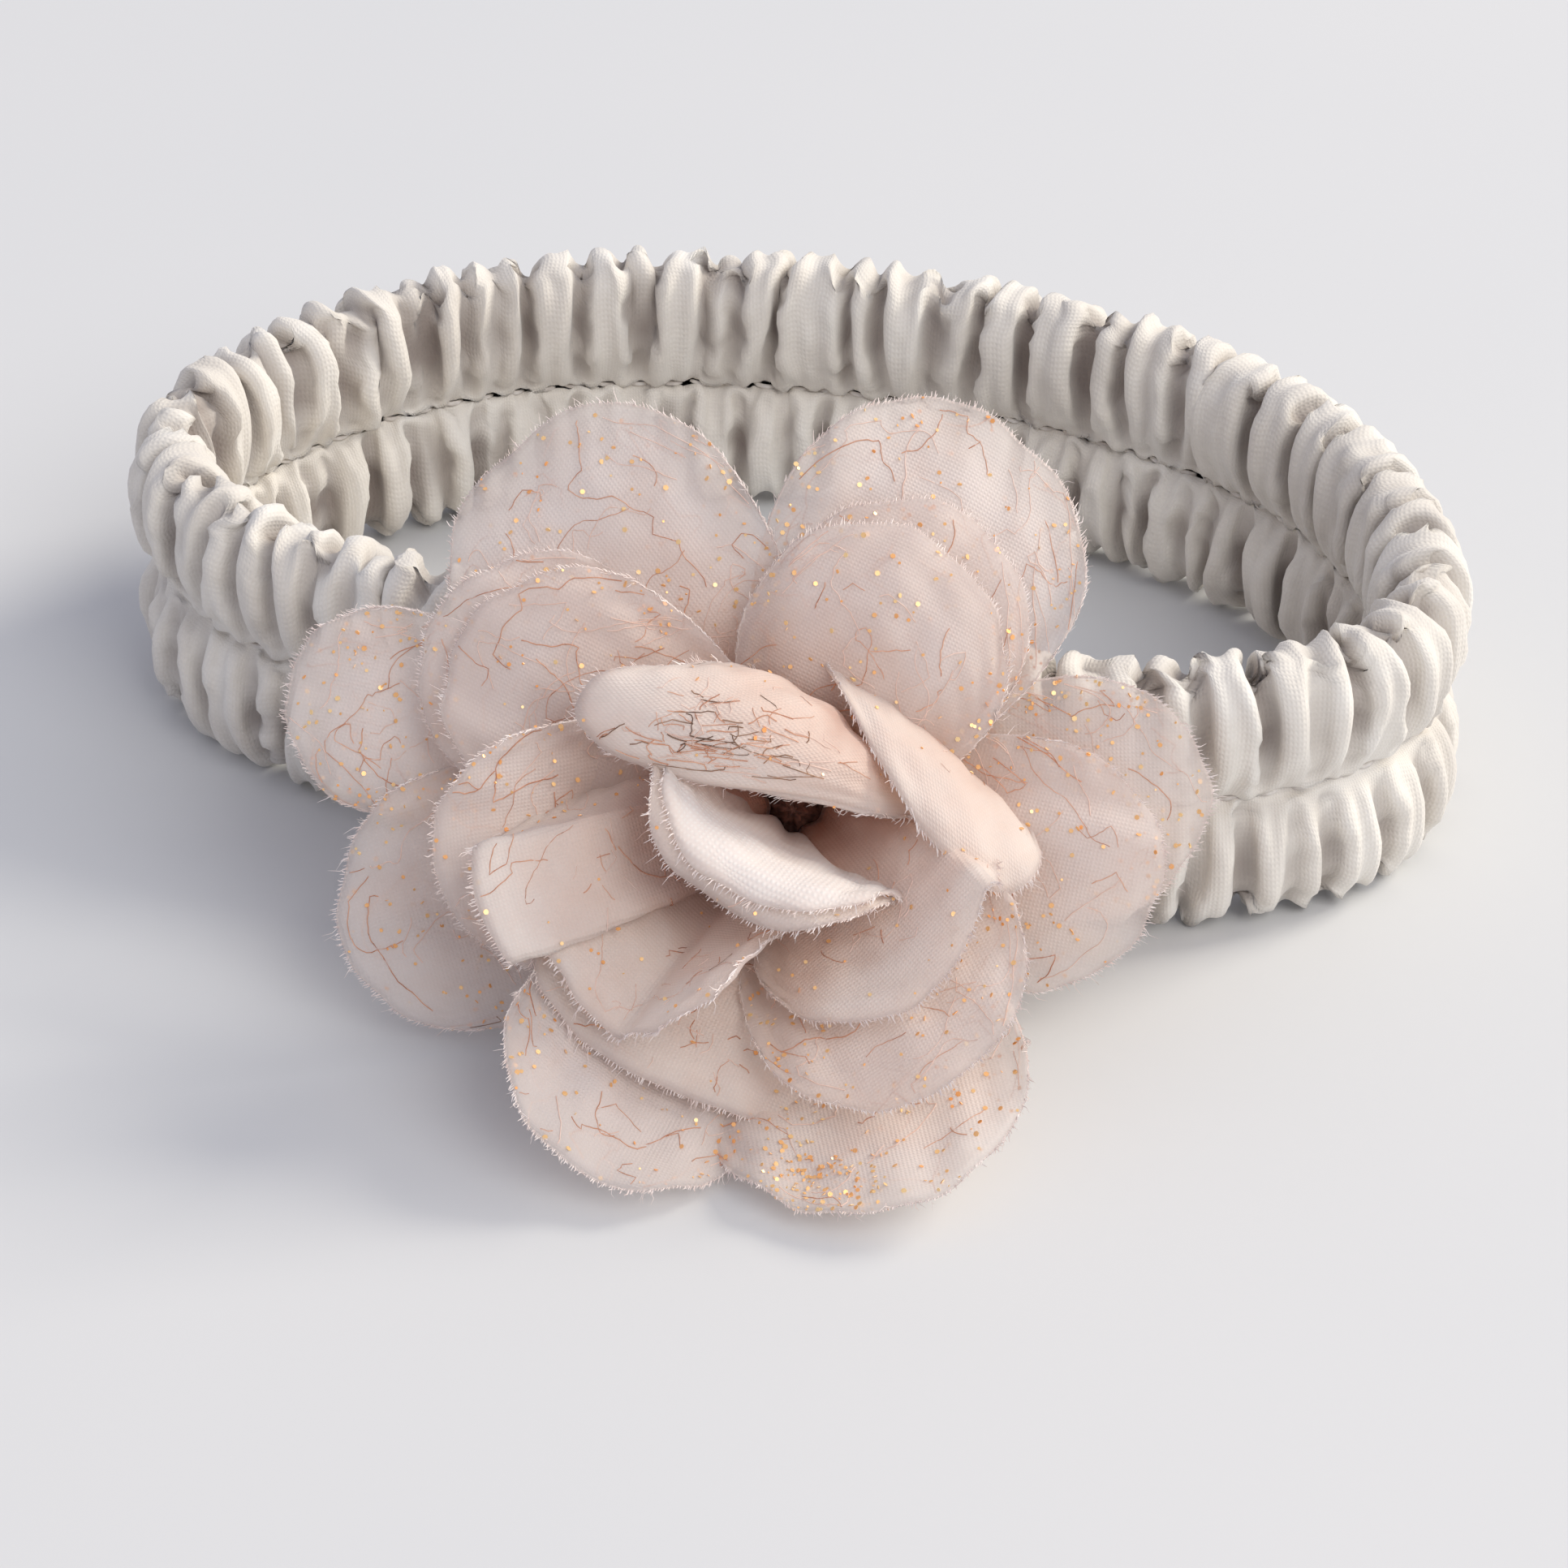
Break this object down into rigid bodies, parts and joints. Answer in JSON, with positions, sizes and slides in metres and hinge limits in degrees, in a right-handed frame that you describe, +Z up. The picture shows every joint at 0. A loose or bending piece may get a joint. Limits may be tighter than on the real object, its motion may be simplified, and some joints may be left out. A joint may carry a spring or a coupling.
{
  "type": "floral headband",
  "caption": "Gathered stretch fabric headband for a baby with a large soft flower of sheer glitter chiffon petals sewn to its front.",
  "frame": {"origin": "middle of the underside of the part's bounding box, on the surface that the band lies on", "axes": "+Z up through the ring, -Y the way the flower faces, +X to the right as seen from the front"},
  "size_m": [0.1252, 0.1262, 0.0479],
  "materials": {
    "band_cloth": "soft matt gathered cotton",
    "elastic": "flat braided elastic",
    "thread": "sewing thread",
    "felt": "wool felt",
    "chiffon": "sheer blush chiffon with copper metallic fibres"
  },
  "bodies": {
    "front": {"cover_front": "band_cloth", "cover_right": "band_cloth", "cover_left": "band_cloth", "lower_elastic": "elastic", "upper_elastic": "elastic", "outer_seam_thread": "thread", "inner_seam_thread": "thread", "left_tack_stitch": "thread", "right_tack_stitch": "thread", "felt_disc": "felt", "stitched_core": "chiffon", "outer_petal_1": "chiffon", "outer_petal_2": "chiffon", "outer_petal_3": "chiffon", "outer_petal_4": "chiffon", "outer_petal_5": "chiffon", "outer_petal_6": "chiffon", "outer_petal_7": "chiffon", "middle_petal_1": "chiffon", "middle_petal_2": "chiffon", "middle_petal_3": "chiffon", "middle_petal_4": "chiffon", "middle_petal_5": "chiffon", "middle_petal_6": "chiffon", "middle_petal_7": "chiffon", "inner_petal_1": "chiffon", "inner_petal_2": "chiffon", "inner_petal_3": "chiffon", "inner_petal_4": "chiffon", "inner_petal_5": "chiffon", "inner_petal_6": "chiffon", "inner_petal_7": "chiffon"},
    "back": {"cover_back": "band_cloth"}
  },
  "joints": [
    {"name": "band_stretch", "type": "slide", "parent": "front", "child": "back", "axis": [0, 1, 0], "range_m": [0, 0.06], "stiffness_N_per_m": 60, "deforming": ["cover_left", "cover_right", "lower_elastic", "upper_elastic", "outer_seam_thread", "inner_seam_thread"]}
  ]
}
